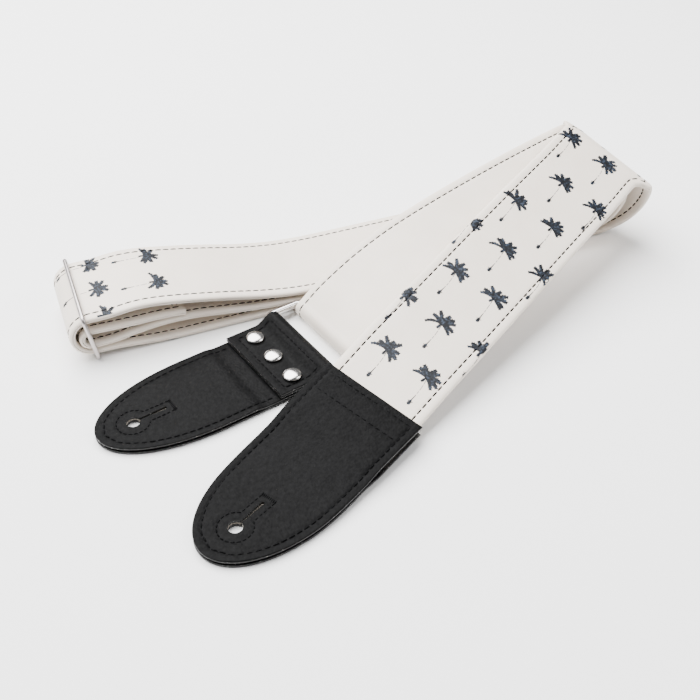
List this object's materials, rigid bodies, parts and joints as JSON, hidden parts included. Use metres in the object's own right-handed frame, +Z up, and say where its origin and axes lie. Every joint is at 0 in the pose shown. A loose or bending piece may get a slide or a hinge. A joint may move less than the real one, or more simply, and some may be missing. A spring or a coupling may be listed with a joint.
{
  "type": "guitar strap",
  "caption": "Two-inch vinyl guitar strap folded for display, with leatherette button-hole end tabs, a rectangular ring and a tri-glide slide for length adjustment.",
  "frame": {"origin": "middle of the folded strap's footprint, on the surface it lies on", "axes": "+X along the folded bundle from the slide to the fold, +Y towards the plain runs' side, away from the front tab, +Z up"},
  "size_m": [0.321, 0.1995, 0.0585],
  "materials": {
    "cream_vinyl": "satin printed vinyl",
    "plain_vinyl": "satin plain vinyl",
    "webbing": "woven",
    "black_leatherette": "pebbled satin",
    "stiffener": "fibre board",
    "black_thread": "thread",
    "nickel_plated_steel": "polished"
  },
  "bodies": {
    "strap": {"strap_face_vinyl": "cream_vinyl", "strap_webbing_core": "webbing", "strap_backing_vinyl": "plain_vinyl", "sewn_end_bar_tack": "black_thread", "front_tab_top_panel": "black_leatherette", "front_tab_bottom_panel": "black_leatherette", "front_tab_stiffener": "stiffener", "front_tab_perimeter_thread": "black_thread", "front_tab_cross_thread": "black_thread", "front_keyhole_thread": "black_thread"},
    "ring": {"ring": "nickel_plated_steel"},
    "rear_tab": {"rear_tab_top_panel": "black_leatherette", "rear_tab_bottom_panel": "black_leatherette", "rear_tab_stiffener": "stiffener", "rear_tab_edge_thread": "black_thread", "rear_keyhole_thread": "black_thread", "rear_flap_thread": "black_thread", "rivet_left_cap": "nickel_plated_steel", "rivet_middle_cap": "nickel_plated_steel", "rivet_right_cap": "nickel_plated_steel", "rivet_left_back": "nickel_plated_steel", "rivet_middle_back": "nickel_plated_steel", "rivet_right_back": "nickel_plated_steel"},
    "slide": {"tri_glide_slide": "nickel_plated_steel"}
  },
  "joints": [
    {"name": "ring_pivot", "type": "hinge", "parent": "strap", "child": "ring", "pos_m": [-0.0389, 0.0166, 0.0052], "axis": [0.225, -0.9744, 0], "range_deg": [-5, 60]},
    {"name": "rear_tab_pivot", "type": "hinge", "parent": "ring", "child": "rear_tab", "pos_m": [-0.05741, 0.01233, 0.0052], "axis": [0.225, -0.9744, 0], "range_deg": [-80, 60]},
    {"name": "slide_pivot", "type": "hinge", "parent": "strap", "child": "slide", "pos_m": [-0.1504, 0.0712, 0.0119], "axis": [0, 1, 0], "range_deg": [-4, 4]}
  ]
}
